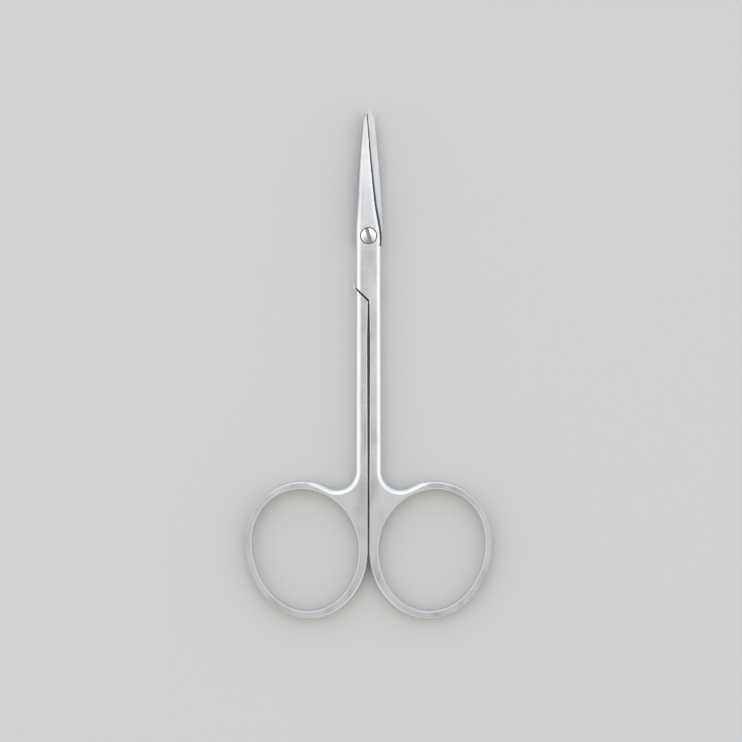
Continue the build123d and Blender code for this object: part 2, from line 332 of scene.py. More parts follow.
def satin_stainless_steel(finish):
    """Martensitic stainless steel, forged, heat treated and satin finished with fine abrasive.

    The eye gets an even soft grey with broad blurred highlights on the roundings. The mating faces
    are ground along the blades and show fine lengthwise lines. A painted highlight lightens the
    slanting rims and roundings behind the blades, the blades' inner edges and their noses. Painted
    shade darkens the backs of the blades and in part the rims of the rings, which are also rougher,
    and it darkens the steep bevel beside each cutting edge, the walls between the shanks, the
    shoulder gap and the slopes round the screw.
    """
    material, tree = new_material("satin_stainless_steel")
    spot = steel_spot(tree, finish)
    ground = mating_faces(tree, spot)
    mouth = countersink(tree, spot, finish)
    bevel = bevel_shade_mask(tree, spot, mouth)
    gap = shoulder_gap_shade(tree, spot, finish)
    wall = shank_wall_shade(tree, spot)
    painted_highlight, dull_and_shaded, rings = rims_and_rings(tree, spot, finish)
    # Painted shade on the slopes round the screw
    shaded = add_node(
        tree, "ShaderNodeMath", {0: mouth, 1: finish.mouth_shade}, operation="MULTIPLY"
    )
    # Painted shade in the shoulder gap and on the slopes round the screw, together
    recess_shade = add_node(tree, "ShaderNodeMath", {0: gap, 1: shaded}, operation="MAXIMUM")
    grain, cloud, brushed, lines = satin_patterns(tree, finish, spot.place)

    # Clouds and marks together move the satin between its two greys, and the rings are lighter
    mottle = add_node(
        tree, "ShaderNodeMath", {0: brushed, 1: finish.brush_share, 2: cloud},
        operation="MULTIPLY_ADD",
    )
    mottle = add_node(
        tree, "ShaderNodeMapRange",
        {0: mottle, 1: MOTTLE_RANGE[0], 2: MOTTLE_RANGE[1], 3: 0.0, 4: 1.0},
    )
    mottle = add_node(
        tree, "ShaderNodeMath", {0: rings, 1: finish.ring_lift, 2: mottle},
        operation="MULTIPLY_ADD",
    )
    satin = add_node(
        tree, "ShaderNodeMix",
        {0: mottle, 6: linear(finish.steel_shade), 7: linear(finish.steel_colour)},
        data_type="RGBA",
    )
    lined = add_node(
        tree, "ShaderNodeMix",
        {0: lines, 6: linear(finish.ground_shade), 7: linear(finish.ground_colour)},
        data_type="RGBA",
    )
    colour = add_node(
        tree, "ShaderNodeMix", {0: ground, 6: satin.outputs[2], 7: lined.outputs[2]},
        data_type="RGBA",
    )
    # Over the satin: painted highlight on the rims; painted shade on the backs, the bevels, the
    # walls between the shanks, the shoulder gap and round the screw
    for mask, over in (
        (painted_highlight, finish.painted_highlight_colour),
        (dull_and_shaded, finish.back_shade_colour),
        (bevel, finish.bevel_shade_colour),
        (wall, finish.wall_shade_colour),
        (recess_shade, finish.recess_shade_colour),
    ):
        colour = add_node(
            tree, "ShaderNodeMix", {0: mask, 6: colour.outputs[2], 7: linear(over)},
            data_type="RGBA",
        )

    roughness = add_node(
        tree, "ShaderNodeMapRange",
        {
            0: cloud, 1: NOISE_RANGE[0], 2: NOISE_RANGE[1],
            3: finish.satin_roughness, 4: finish.satin_roughness + finish.satin_spread,
        },
    )
    roughness = add_node(
        tree, "ShaderNodeMath", {0: dull_and_shaded, 1: finish.back_roughness, 2: roughness},
        operation="MULTIPLY_ADD",
    )
    relief = add_node(tree, "ShaderNodeMix", {0: ground, 2: grain, 3: lines}, data_type="FLOAT")
    bump = add_node(
        tree, "ShaderNodeBump",
        {"Height": relief.outputs[0], "Strength": 0.35, "Distance": finish.grain_depth},
    )
    bare_metal(tree, colour, roughness, bump)
    return material


def turned_stainless_steel(finish):
    """Stainless steel bar, turned on a lathe and polished.

    The eye gets a brighter, slightly warm disc. Faint rings round the screw's axis, as far
    apart as a fine feed leaves them, show from near only.
    """
    material, tree = new_material("turned_stainless_steel")
    place = add_node(tree, "ShaderNodeTexCoord").outputs["Object"]
    ring_map = add_node(
        tree, "ShaderNodeMapping", {"Vector": place, "Scale": (1 / MM, 1 / MM, 1 / MM)}
    )
    rings = add_node(
        tree, "ShaderNodeTexWave",
        {
            "Vector": ring_map, "Scale": WAVE_REPEAT * MM / finish.turning_pitch,
            "Distortion": 0.6, "Detail": 2.0, "Detail Scale": 3.0,
        },
        wave_type="RINGS", rings_direction="Z",
    )
    smear = add_node(
        tree, "ShaderNodeTexNoise",
        {"Vector": ring_map, "Scale": MM / finish.smear_width, "Detail": 3.0},
    )
    colour = add_node(
        tree, "ShaderNodeMix",
        {0: smear, 6: linear(finish.screw_shade), 7: linear(finish.screw_colour)},
        data_type="RGBA",
    )
    roughness = add_node(
        tree, "ShaderNodeMapRange",
        {
            0: smear, 1: NOISE_RANGE[0], 2: NOISE_RANGE[1],
            3: finish.screw_roughness, 4: finish.screw_roughness + finish.screw_spread,
        },
    )
    bump = add_node(
        tree, "ShaderNodeBump",
        {"Height": rings, "Strength": 0.25, "Distance": finish.turning_depth},
    )
    bare_metal(tree, colour, roughness, bump)
    return material


def milled_stainless_steel(finish, screw):
    """The same steel in the screw's slot, as a slitting saw cuts it.

    The eye gets a warm grey floor with marks along the slot. Its darker grey is partly the sawn
    steel's own tone and partly painted shade in the slot, and a painted shadow darkens the faces
    along one wall.
    """
    material, tree = new_material("milled_stainless_steel")
    place = add_node(tree, "ShaderNodeTexCoord").outputs["Object"]
    along = add_node(
        tree, "ShaderNodeMapping", {"Vector": place, "Rotation": (0.0, 0.0, -screw.slot_turn)}
    )
    aside = add_node(tree, "ShaderNodeSeparateXYZ", {0: along}).outputs[0]
    marks_map = add_node(
        tree, "ShaderNodeMapping",
        {
            "Vector": along,
            "Scale": (1 / finish.saw_spacing, 1 / finish.mark_length, 1 / finish.saw_spacing),
        },
    )
    marks = add_node(
        tree, "ShaderNodeTexNoise", {"Vector": marks_map, "Scale": 1.0, "Detail": 3.0}
    )
    colour = add_node(
        tree, "ShaderNodeMix",
        {0: marks, 6: linear(finish.slot_shade), 7: linear(finish.slot_colour)},
        data_type="RGBA",
    )
    # Painted shadow on the slot's faces along one wall
    shadow_edge = 0.28 * screw.slot_width
    shadow_full = 0.4 * screw.slot_width
    corner = add_node(
        tree, "ShaderNodeMapRange",
        {0: aside, 1: shadow_edge, 2: shadow_full, 3: 0.0, 4: finish.slot_wall_shadow},
    )
    colour = add_node(
        tree, "ShaderNodeMix",
        {0: corner, 6: colour.outputs[2], 7: linear(finish.recess_shade_colour)},
        data_type="RGBA",
    )
    bump = add_node(
        tree, "ShaderNodeBump",
        {"Height": marks, "Strength": 0.3, "Distance": finish.mark_depth},
    )
    bare_metal(tree, colour, finish.slot_roughness, bump)
    return material


def slotted_screw_tree():
    """Geometry Nodes tree of a slotted countersunk screw that stands on its end.

    A grid is wrapped round the Z axis. Its rows follow the screw's profile from the middle of
    the end to the middle of the head, and along the thread the radius swings with the height
    and the turn, which gives the thread its helix. A saw cut makes the slot.
    """
    tree = bpy.data.node_groups.new("slotted_screw", "GeometryNodeTree")
    tree.interface.new_socket("Geometry", in_out="OUTPUT", socket_type="NodeSocketGeometry")
    for name in SCREW_INPUTS:
        tree.interface.new_socket(name, in_out="INPUT", socket_type="NodeSocketFloat")
    for name in ("Head material", "Slot material"):
        tree.interface.new_socket(name, in_out="INPUT", socket_type="NodeSocketMaterial")
    size = add_node(tree, "NodeGroupInput").outputs

    # Profile: first and last row of each stretch, and what it adds to the radius and the height
    differences = []
    for larger, smaller in (
        ("Thread radius", "End chamfer"), ("Neck height", "End chamfer"),
        ("Head radius", "Thread radius"), ("Rim height", "Edge break"),
        ("Head radius", "Edge break"),
    ):
        differences.append(add_node(
            tree, "ShaderNodeMath", {0: size[larger], 1: size[smaller]}, operation="SUBTRACT"
        ))
    core, shank, flare, band_top, crown = differences
    cone_top = add_node(
        tree, "ShaderNodeMath", {0: size["Neck height"], 1: flare}, operation="ADD"
    )
    band = add_node(tree, "ShaderNodeMath", {0: band_top, 1: cone_top}, operation="SUBTRACT")
    inwards = add_node(
        tree, "ShaderNodeMath", {0: size["Edge break"], 1: -1.0}, operation="MULTIPLY"
    )
    to_axis = add_node(tree, "ShaderNodeMath", {0: crown, 1: -1.0}, operation="MULTIPLY")
    neck_row = 2 + THREAD_ROWS
    crown_row = neck_row + 3
    rows = crown_row + CROWN_ROWS
    stretches = (
        (0, 1, core, 0.0),
        (1, 2, size["End chamfer"], size["End chamfer"]),
        (2, neck_row, 0.0, shank),
        (neck_row, neck_row + 1, flare, flare),
        (neck_row + 1, neck_row + 2, 0.0, band),
        (neck_row + 2, crown_row, inwards, size["Edge break"]),
        (crown_row, rows, to_axis, 0.0),
    )

    # The grid is 1 by 1 about its middle: X turns round the axis, and Y counts the rows
    grid = add_node(
        tree, "GeometryNodeMeshGrid", {"Vertices X": AROUND + 1, "Vertices Y": rows + 1}
    )
    where = add_node(tree, "GeometryNodeInputPosition")
    where = add_node(tree, "ShaderNodeSeparateXYZ", {0: where}).outputs
    turn = add_node(
        tree, "ShaderNodeMapRange", {0: where[0], 1: -0.5, 2: 0.5, 3: 0.0, 4: math.tau}
    )
    row = add_node(
        tree, "ShaderNodeMapRange", {0: where[1], 1: -0.5, 2: 0.5, 3: 0.0, 4: float(rows)}
    )
    radius = height = 0.0
    for first, last, widening, rising in stretches:
        share = add_node(
            tree, "ShaderNodeMapRange", {0: row, 1: float(first), 2: float(last), 3: 0.0, 4: 1.0}
        )
        radius = add_node(
            tree, "ShaderNodeMath", {0: share, 1: widening, 2: radius}, operation="MULTIPLY_ADD"
        )
        height = add_node(
            tree, "ShaderNodeMath", {0: share, 1: rising, 2: height}, operation="MULTIPLY_ADD"
        )

    # Crown of the head: a shallow dome that falls away with the square of the radius
    outwards = add_node(tree, "ShaderNodeMath", {0: radius, 1: crown}, operation="DIVIDE")
    squared = add_node(tree, "ShaderNodeMath", {0: outwards, 1: 2.0}, operation="POWER")
    fall = add_node(tree, "ShaderNodeMath", {0: 1.0, 1: squared}, operation="SUBTRACT")
    on_crown = add_node(
        tree, "ShaderNodeMath", {0: row, 1: crown_row - 0.5}, operation="GREATER_THAN"
    )
    fall = add_node(tree, "ShaderNodeMath", {0: fall, 1: on_crown}, operation="MULTIPLY")
    height = add_node(
        tree, "ShaderNodeMath", {0: fall, 1: size["Crown"], 2: height}, operation="MULTIPLY_ADD"
    )

    # Thread: a triangular groove that climbs one pitch in a turn and runs out at both ends
    turns = add_node(tree, "ShaderNodeMath", {0: turn, 1: math.tau}, operation="DIVIDE")
    climbed = add_node(
        tree, "ShaderNodeMath", {0: height, 1: size["Thread pitch"]}, operation="DIVIDE"
    )
    phase = add_node(tree, "ShaderNodeMath", {0: climbed, 1: turns}, operation="SUBTRACT")
    phase = add_node(tree, "ShaderNodeMath", {0: phase, 1: 2.0}, operation="MULTIPLY")
    groove = add_node(tree, "ShaderNodeMath", {0: phase, 1: 1.0}, operation="PINGPONG")
    run_in = add_node(
        tree, "ShaderNodeMapRange", {0: row, 1: 2.0, 2: 2.0 + RUN_OUT_ROWS, 3: 0.0, 4: 1.0}
    )
    run_out = add_node(
        tree, "ShaderNodeMapRange",
        {0: row, 1: float(neck_row - RUN_OUT_ROWS), 2: float(neck_row), 3: 1.0, 4: 0.0},
    )
    cut = add_node(tree, "ShaderNodeMath", {0: groove, 1: run_in}, operation="MULTIPLY")
    cut = add_node(tree, "ShaderNodeMath", {0: cut, 1: run_out}, operation="MULTIPLY")
    cut = add_node(
        tree, "ShaderNodeMath", {0: cut, 1: size["Thread depth"]}, operation="MULTIPLY"
    )
    radius = add_node(tree, "ShaderNodeMath", {0: radius, 1: cut}, operation="SUBTRACT")

    # Wrap the grid round the axis and close its seam and both poles
    cosine = add_node(tree, "ShaderNodeMath", {0: turn}, operation="COSINE")
    sine = add_node(tree, "ShaderNodeMath", {0: turn}, operation="SINE")
    x = add_node(tree, "ShaderNodeMath", {0: radius, 1: cosine}, operation="MULTIPLY")
    y = add_node(tree, "ShaderNodeMath", {0: radius, 1: sine}, operation="MULTIPLY")
    wrapped = add_node(tree, "ShaderNodeCombineXYZ", {0: x, 1: y, 2: height})
    body = add_node(
        tree, "GeometryNodeSetPosition", {"Geometry": grid.outputs["Mesh"], "Position": wrapped}
    )
    body = add_node(tree, "GeometryNodeMergeByDistance", {"Geometry": body, "Distance": SEAM_GAP})

    # Saw cut across the head: twice as long as the head is wide, and half of it above the rim
    saw_length = add_node(
        tree, "ShaderNodeMath", {0: size["Head radius"], 1: 4.0}, operation="MULTIPLY"
    )
    saw_height = add_node(
        tree, "ShaderNodeMath", {0: size["Slot depth"], 1: 2.0}, operation="MULTIPLY"
    )
    saw_size = add_node(
        tree, "ShaderNodeCombineXYZ", {0: size["Slot width"], 1: saw_length, 2: saw_height}
    )
    saw_place = add_node(tree, "ShaderNodeCombineXYZ", {2: size["Rim height"]})
    saw_turn = add_node(tree, "ShaderNodeCombineXYZ", {2: size["Slot turn"]})
    saw = add_node(tree, "GeometryNodeMeshCube", {"Size": saw_size})
    saw = add_node(
        tree, "GeometryNodeTransform",
        {"Geometry": saw.outputs["Mesh"], "Translation": saw_place, "Rotation": saw_turn},
    )
    slotted = add_node(
        tree, "GeometryNodeMeshBoolean", {0: body, 1: saw}, operation="DIFFERENCE"
    ).outputs["Mesh"]
    slotted = add_node(
        tree, "GeometryNodeMergeByDistance", {"Geometry": slotted, "Distance": SLIVER_GAP}
    )

    # Round faces shade smoothly, and every corner stays crisp
    corner = add_node(tree, "GeometryNodeInputMeshEdgeAngle").outputs["Unsigned Angle"]
    soft = add_node(
        tree, "ShaderNodeMath", {0: corner, 1: SOFT_EDGE}, operation="LESS_THAN"
    )
    smooth = add_node(
        tree, "GeometryNodeSetShadeSmooth", {"Geometry": slotted, "Shade Smooth": soft},
        domain="EDGE",
    )

    # Faces of the slot: above its floor and within its width
    face = add_node(tree, "GeometryNodeInputPosition")
    back = add_node(
        tree, "ShaderNodeMath", {0: size["Slot turn"], 1: -1.0}, operation="MULTIPLY"
    )
    face = add_node(
        tree, "ShaderNodeVectorRotate", {"Vector": face, "Angle": back}, rotation_type="Z_AXIS"
    )
    face = add_node(tree, "ShaderNodeSeparateXYZ", {0: face}).outputs
    aside = add_node(tree, "ShaderNodeMath", {0: face[0]}, operation="ABSOLUTE")
    width = add_node(
        tree, "ShaderNodeMath", {0: size["Slot width"], 1: 0.5, 2: WALL_MARGIN},
        operation="MULTIPLY_ADD",
    )
    within = add_node(tree, "ShaderNodeMath", {0: aside, 1: width}, operation="LESS_THAN")
    floor = add_node(
        tree, "ShaderNodeMath", {0: size["Rim height"], 1: size["Slot depth"]},
        operation="SUBTRACT",
    )
    floor = add_node(tree, "ShaderNodeMath", {0: floor, 1: FLOOR_MARGIN}, operation="SUBTRACT")
    over = add_node(tree, "ShaderNodeMath", {0: face[2], 1: floor}, operation="GREATER_THAN")
    in_slot = add_node(tree, "ShaderNodeMath", {0: within, 1: over}, operation="MULTIPLY")

    solid = add_node(tree, "GeometryNodeRealizeInstances", {"Geometry": smooth})
    dressed = add_node(
        tree, "GeometryNodeSetMaterial", {"Geometry": solid, "Material": size["Head material"]}
    )
    dressed = add_node(
        tree, "GeometryNodeSetMaterial",
        {"Geometry": dressed, "Selection": in_slot, "Material": size["Slot material"]},
    )
    add_node(tree, "NodeGroupOutput", {"Geometry": dressed})
    return tree


def matt_painted_board(studio):
    """Painted board, rolled and matt.

    The eye gets an even pale floor that keeps the soft shadow of the scissors.
    """
    board, tree = new_material("matt_painted_board")
    surface = add_node(
        tree, "ShaderNodeBsdfPrincipled",
        {"Base Color": linear(studio.floor_colour), "Roughness": 0.9},
    )
    add_node(tree, "ShaderNodeOutputMaterial", {"Surface": surface})
    return board


def studio_floor(studio):
    """A square floor a hair below the scissors, so that no two faces lie in one plane."""
    half = studio.floor_width / 2
    corners = [(-half, -half), (half, -half), (half, half), (-half, half)]
    mesh = bpy.data.meshes.new("studio_floor")
    mesh.from_pydata([(x, y, -studio.floor_drop) for x, y in corners], [], [(0, 1, 2, 3)])
    floor = bpy.data.objects.new("studio_floor", mesh)
    assign(floor, matt_painted_board(studio))
    return floor


def studio_light(studio):
    """Soft light all round: brighter beyond the tips and at the sides, dimmer behind the rings."""
    world = bpy.data.worlds.new("studio_light")
    world.use_nodes = True
    world.node_tree.nodes.clear()
    tree = world.node_tree
    direction = add_node(tree, "ShaderNodeTexCoord").outputs["Generated"]
    x, y, z = add_node(tree, "ShaderNodeSeparateXYZ", {0: direction}).outputs
    aside = add_node(tree, "ShaderNodeMath", {0: x}, operation="ABSOLUTE")
    endwise = add_node(tree, "ShaderNodeMath", {0: y}, operation="ABSOLUTE")
    overhead = add_node(
        tree, "ShaderNodeMapRange",
        {
            0: y, 1: OVERHEAD_BLEND[0], 2: OVERHEAD_BLEND[1],
            3: studio.near_light, 4: studio.far_light,
        },
        interpolation_type="SMOOTHSTEP",
    )
    side = add_node(
        tree, "ShaderNodeMapRange",
        {
            0: endwise, 1: CORNER_BLEND[0], 2: CORNER_BLEND[1],
            3: studio.side_light, 4: studio.corner_light,
        },
        interpolation_type="SMOOTHSTEP",
    )
    strength = add_node(
        tree, "ShaderNodeMapRange",
        {0: aside, 1: SIDE_BLEND[0], 2: SIDE_BLEND[1], 3: overhead, 4: side},
        interpolation_type="SMOOTHSTEP",
    )
    strength = add_node(
        tree, "ShaderNodeMapRange",
        {0: z, 1: HORIZON_BLEND[0], 2: HORIZON_BLEND[1], 3: studio.horizon_light, 4: strength},
        interpolation_type="SMOOTHSTEP",
    )
    beyond = add_node(
        tree, "ShaderNodeMapRange", {0: y, 1: TINT_BLEND[0], 2: TINT_BLEND[1], 3: 0.0, 4: 1.0}
    )
    tint = add_node(
        tree, "ShaderNodeMix",
        {0: beyond, 6: linear(studio.near_tint), 7: linear(studio.far_tint)},
        data_type="RGBA",
    )
    sky = add_node(
        tree, "ShaderNodeBackground", {"Color": tint.outputs[2], "Strength": strength}
    )
    add_node(tree, "ShaderNodeOutputWorld", {"Surface": sky})
    return world


def soft_box(studio):
    """One soft box beyond the tips, to the left, for a soft shadow beside the scissors."""
    lamp = bpy.data.lights.new("soft_box", "AREA")
    lamp.shape = "RECTANGLE"
    lamp.size, lamp.size_y = studio.lamp_size
    lamp.energy = studio.lamp_power
    box = bpy.data.objects.new("soft_box", lamp)
    place = Vector(studio.lamp_place)
    box.location = Vector((*studio.centre, 0)) + place
    box.rotation_euler = place.to_track_quat("Z", "Y").to_euler()
    return box


def overhead_camera(studio, parting_height):
    """A camera straight above: frame_width fills its picture where the two halves meet."""
    lens = bpy.data.cameras.new("camera")
    lens.sensor_width = SENSOR_WIDTH
    lens.lens = SENSOR_WIDTH * (studio.camera_height - parting_height) / studio.frame_width
    lens.clip_start, lens.clip_end = 0.01, 10.0
    camera = bpy.data.objects.new("camera", lens)
    camera.location = (*studio.centre, studio.camera_height)
    return camera


class ScissorsFinish(bpy.types.PropertyGroup):
    """Finish of the steel: its colours, and the real sizes of its grain and lines."""

    parting_height: bpy.props.FloatProperty(
        name="Parting height", description="Height of the plane where the two halves meet",
        default=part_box("lower_half")[1].z / 2, unit="LENGTH", subtype="DISTANCE", precision=5,
    )
    steel_colour: bpy.props.StringProperty(
        name="Steel", description="Satin steel where it is brightest, sRGB hex",
        default="#E2E2E2",
    )
    steel_shade: bpy.props.StringProperty(
        name="Steel shade", description="Satin steel where it is dullest, sRGB hex",
        default="#C9C9C9",
    )
    ground_colour: bpy.props.StringProperty(
        name="Ground face", description="Bright lines of the ground mating faces, sRGB hex",
        default="#F6F6F5",
    )
    ground_shade: bpy.props.StringProperty(
        name="Ground face shade", description="Dull lines of the ground mating faces, sRGB hex",
        default="#C6C8CA",
    )
    # Colour of the painted highlight on slanting rims, roundings and noses
    painted_highlight_colour: bpy.props.StringProperty(
        name="Worn rims", description="Rims, roundings and noses rubbed bright, sRGB hex",
        default="#ECECEB",
    )
    # Colour of the painted shade on the backs of the blades, and in part on the rings' rims
    back_shade_colour: bpy.props.StringProperty(
        name="Backs of the blades",
        description="Belt ground backs of the blades, and in part the rings' rims, sRGB hex",
        default="#B0B1B3",
    )
    # Colour of the painted shade on the steep bevel beside the cutting edge
    bevel_shade_colour: bpy.props.StringProperty(
        name="Honed bevel", description="Steep bevel beside the cutting edge, sRGB hex",
        default="#404043",
    )
    # Colour of the painted shade in the shoulder gap, round the screw and along one wall of its slot
    recess_shade_colour: bpy.props.StringProperty(
        name="Recesses", description="Corners that the satin wheel doesn't reach, sRGB hex",
        default="#38383A",
    )
    # Colour of the painted shade on the walls between the two shanks
    wall_shade_colour: bpy.props.StringProperty(
        name="Inner walls", description="Duller walls between the two shanks, sRGB hex",
        default="#8E8F91",
    )
    # Where the painted shade round the screw lies, and how dark it is
    mouth_radius: bpy.props.FloatProperty(
        name="Mouth radius", description="Radius round the pivot inside which slopes are dark",
        default=1.68 * MM, unit="LENGTH", subtype="DISTANCE", precision=5,
    )
    mouth_shade: bpy.props.FloatProperty(
        name="Mouth shade", description="How dark the slopes round the screw are",
        default=0.5, min=0.0, max=1.0, subtype="FACTOR",
    )
    # How far painted shade darkens the rings' rims
    ring_rim_shade: bpy.props.FloatProperty(
        name="Rims of the rings", description="How far the rings' rims go towards the dull grey",
        default=0.42, min=0.0, max=1.0, subtype="FACTOR",
    )
    ring_lift: bpy.props.FloatProperty(
        name="Faces of the rings", description="How far the rings' faces go towards the bright grey",
        default=0.4, min=0.0, max=1.0, subtype="FACTOR",
    )
    # Width and reach of the painted shade along the shoulder gap
    recess_width: bpy.props.FloatProperty(
        name="Recess width", description="Width of the dark line along the shoulder gap",
        default=0.3 * MM, unit="LENGTH", subtype="DISTANCE", precision=5,
    )
    recess_height: bpy.props.FloatProperty(
        name="Recess height", description="How far from the mating plane the gap stays dark",
        default=1.45 * MM, unit="LENGTH", subtype="DISTANCE", precision=5,
    )
    shoulder_angle: bpy.props.FloatProperty(
        name="Shoulder angle", description="Slant of the shoulder gap",
        default=math.radians(43.7), subtype="ANGLE",
    )
    shoulder_line: bpy.props.FloatProperty(
        name="Shoulder line", description="How far behind the pivot the gap crosses the middle",
        default=12.444 * MM, unit="LENGTH", subtype="DISTANCE", precision=5,
    )
    satin_roughness: bpy.props.FloatProperty(
        name="Satin roughness", description="Roughness of the satin finish where it is finest",
        default=0.27, min=0.0, max=1.0, subtype="FACTOR",
    )
    satin_spread: bpy.props.FloatProperty(
        name="Satin spread", description="How much rougher the coarsest clouds are",
        default=0.07, min=0.0, max=1.0, subtype="FACTOR",
    )
    back_roughness: bpy.props.FloatProperty(
        name="Roughness of the backs", description="What belt grinding adds on the blades' backs",
        default=0.22, min=0.0, max=1.0, subtype="FACTOR",
    )
    satin_grain: bpy.props.FloatProperty(
        name="Satin grain", description="Width of one grain of the satin finish",
        default=0.12 * MM, unit="LENGTH", subtype="DISTANCE", precision=5,
    )
    grain_depth: bpy.props.FloatProperty(
        name="Grain depth", description="Depth of the grain and of the ground lines",
        default=0.01 * MM, unit="LENGTH", subtype="DISTANCE", precision=6,
    )
    cloud_width: bpy.props.FloatProperty(
        name="Cloud width", description="Width of the clouds that hand work leaves",
        default=3.5 * MM, unit="LENGTH", subtype="DISTANCE", precision=5,
    )
    cloud_length: bpy.props.FloatProperty(
        name="Cloud length", description="Length of the clouds along the scissors",
        default=9 * MM, unit="LENGTH", subtype="DISTANCE", precision=5,
    )
    brush_share: bpy.props.FloatProperty(
        name="Brush share", description="Weight of the brush marks beside the clouds",
        default=0.5, min=0.0, max=1.0, subtype="FACTOR",
    )
    brush_length: bpy.props.FloatProperty(
        name="Brush length", description="Length of one brush mark across the scissors",
        default=3 * MM, unit="LENGTH", subtype="DISTANCE", precision=5,
    )
    brush_spacing: bpy.props.FloatProperty(
        name="Brush marks", description="Spacing of the marks that the wheel leaves crosswise",
        default=0.28 * MM, unit="LENGTH", subtype="DISTANCE", precision=5,
    )
    grind_spacing: bpy.props.FloatProperty(
        name="Grinding lines", description="Spacing of the lines on the mating faces",
        default=0.1 * MM, unit="LENGTH", subtype="DISTANCE", precision=5,
    )
    grind_length: bpy.props.FloatProperty(
        name="Line length", description="Length of one line on the mating faces",
        default=12 * MM, unit="LENGTH", subtype="DISTANCE", precision=5,
    )
    screw_colour: bpy.props.StringProperty(
        name="Screw", description="Turned screw where it is brightest, sRGB hex",
        default="#FAF9F5",
    )
    screw_shade: bpy.props.StringProperty(
        name="Screw shade", description="Turned screw where it is dullest, sRGB hex",
        default="#EDEBE4",
    )
    screw_roughness: bpy.props.FloatProperty(
        name="Screw roughness", description="Roughness of the screw where it is smoothest",
        default=0.16, min=0.0, max=1.0, subtype="FACTOR",
    )
    screw_spread: bpy.props.FloatProperty(
        name="Screw spread", description="How much rougher its dullest smears are",
        default=0.08, min=0.0, max=1.0, subtype="FACTOR",
    )
    smear_width: bpy.props.FloatProperty(
        name="Smear width", description="Width of the smears that polishing leaves",
        default=0.625 * MM, unit="LENGTH", subtype="DISTANCE", precision=6,
    )
    turning_pitch: bpy.props.FloatProperty(
        name="Turning rings", description="Spacing of the rings that the lathe leaves",
        default=0.042 * MM, unit="LENGTH", subtype="DISTANCE", precision=6,
    )
    turning_depth: bpy.props.FloatProperty(
        name="Ring depth", description="Depth of the rings that the lathe leaves",
        default=0.004 * MM, unit="LENGTH", subtype="DISTANCE", precision=6,
    )
    # The slot's darker greys are partly the sawn steel's own tone and partly painted shade in the
    # slot
    slot_colour: bpy.props.StringProperty(
        name="Slot", description="Sawn slot where it is brightest, sRGB hex",
        default="#B5AFA4",
    )
    slot_shade: bpy.props.StringProperty(
        name="Slot shade", description="Sawn slot where it is dullest, sRGB hex",
        default="#8E897F",
    )
    saw_spacing: bpy.props.FloatProperty(
        name="Saw marks", description="Spacing of the marks along the slot",
        default=0.08 * MM, unit="LENGTH", subtype="DISTANCE", precision=5,
    )
    mark_length: bpy.props.FloatProperty(
        name="Mark length", description="Length of one mark along the slot",
        default=3 * MM, unit="LENGTH", subtype="DISTANCE", precision=5,
    )
    mark_depth: bpy.props.FloatProperty(
        name="Mark depth", description="Depth of the marks along the slot",
        default=0.01 * MM, unit="LENGTH", subtype="DISTANCE", precision=6,
    )
    slot_roughness: bpy.props.FloatProperty(
        name="Slot roughness", description="Roughness of the sawn slot",
        default=0.42, min=0.0, max=1.0, subtype="FACTOR",
    )
    # How dark the painted shadow along one wall of the slot is
    slot_wall_shadow: bpy.props.FloatProperty(
        name="Paste", description="How dark the old polishing paste in the slot's corner is",
        default=0.85, min=0.0, max=1.0, subtype="FACTOR",
    )


class PivotScrew(bpy.types.PropertyGroup):
    """Sizes of the slotted countersunk screw that the halves turn on."""

    head_radius: bpy.props.FloatProperty(
        name="Head radius", description="Radius of the head",
        default=SCREW_BOX[1].x, unit="LENGTH", subtype="DISTANCE", precision=5,
    )
    rim_height: bpy.props.FloatProperty(
        name="Rim height", description="Height of the head's rim, just below the upper face",
        default=3.14 * MM, unit="LENGTH", subtype="DISTANCE", precision=5,
    )
    crown: bpy.props.FloatProperty(
        name="Crown", description="How far the head domes above its rim",
        default=0.14 * MM, unit="LENGTH", subtype="DISTANCE", precision=5,
    )
    edge_break: bpy.props.FloatProperty(
        name="Edge break", description="Chamfer round the head",
        default=0.08 * MM, unit="LENGTH", subtype="DISTANCE", precision=5,
    )
    neck_height: bpy.props.FloatProperty(
        name="Neck height", description="Height at which the thread ends and the cone begins",
        default=2.29 * MM, unit="LENGTH", subtype="DISTANCE", precision=5,
    )
    thread_radius: bpy.props.FloatProperty(
        name="Thread radius", description="Radius over the crests of the thread",
        default=1.0 * MM, unit="LENGTH", subtype="DISTANCE", precision=5,
    )
    thread_pitch: bpy.props.FloatProperty(
        name="Thread pitch", description="How far the thread climbs in one turn",
        default=0.4 * MM, unit="LENGTH", subtype="DISTANCE", precision=5,
    )
    thread_depth: bpy.props.FloatProperty(
        name="Thread depth", description="Depth of the thread's groove",
        default=0.24 * MM, unit="LENGTH", subtype="DISTANCE", precision=5,
    )
    end_chamfer: bpy.props.FloatProperty(
        name="End chamfer", description="Chamfer round the screw's end",
        default=0.15 * MM, unit="LENGTH", subtype="DISTANCE", precision=5,
    )
    slot_width: bpy.props.FloatProperty(
        name="Slot width", description="Width of the slot",
        default=0.66 * MM, unit="LENGTH", subtype="DISTANCE", precision=5,
    )
    slot_depth: bpy.props.FloatProperty(
        name="Slot depth", description="Depth of the slot below the head's rim",
        default=0.5 * MM, unit="LENGTH", subtype="DISTANCE", precision=5,
    )
    slot_turn: bpy.props.FloatProperty(
        name="Slot turn", description="Turn of the slot from the length of the scissors",
        default=math.radians(15.4), subtype="ANGLE",
    )


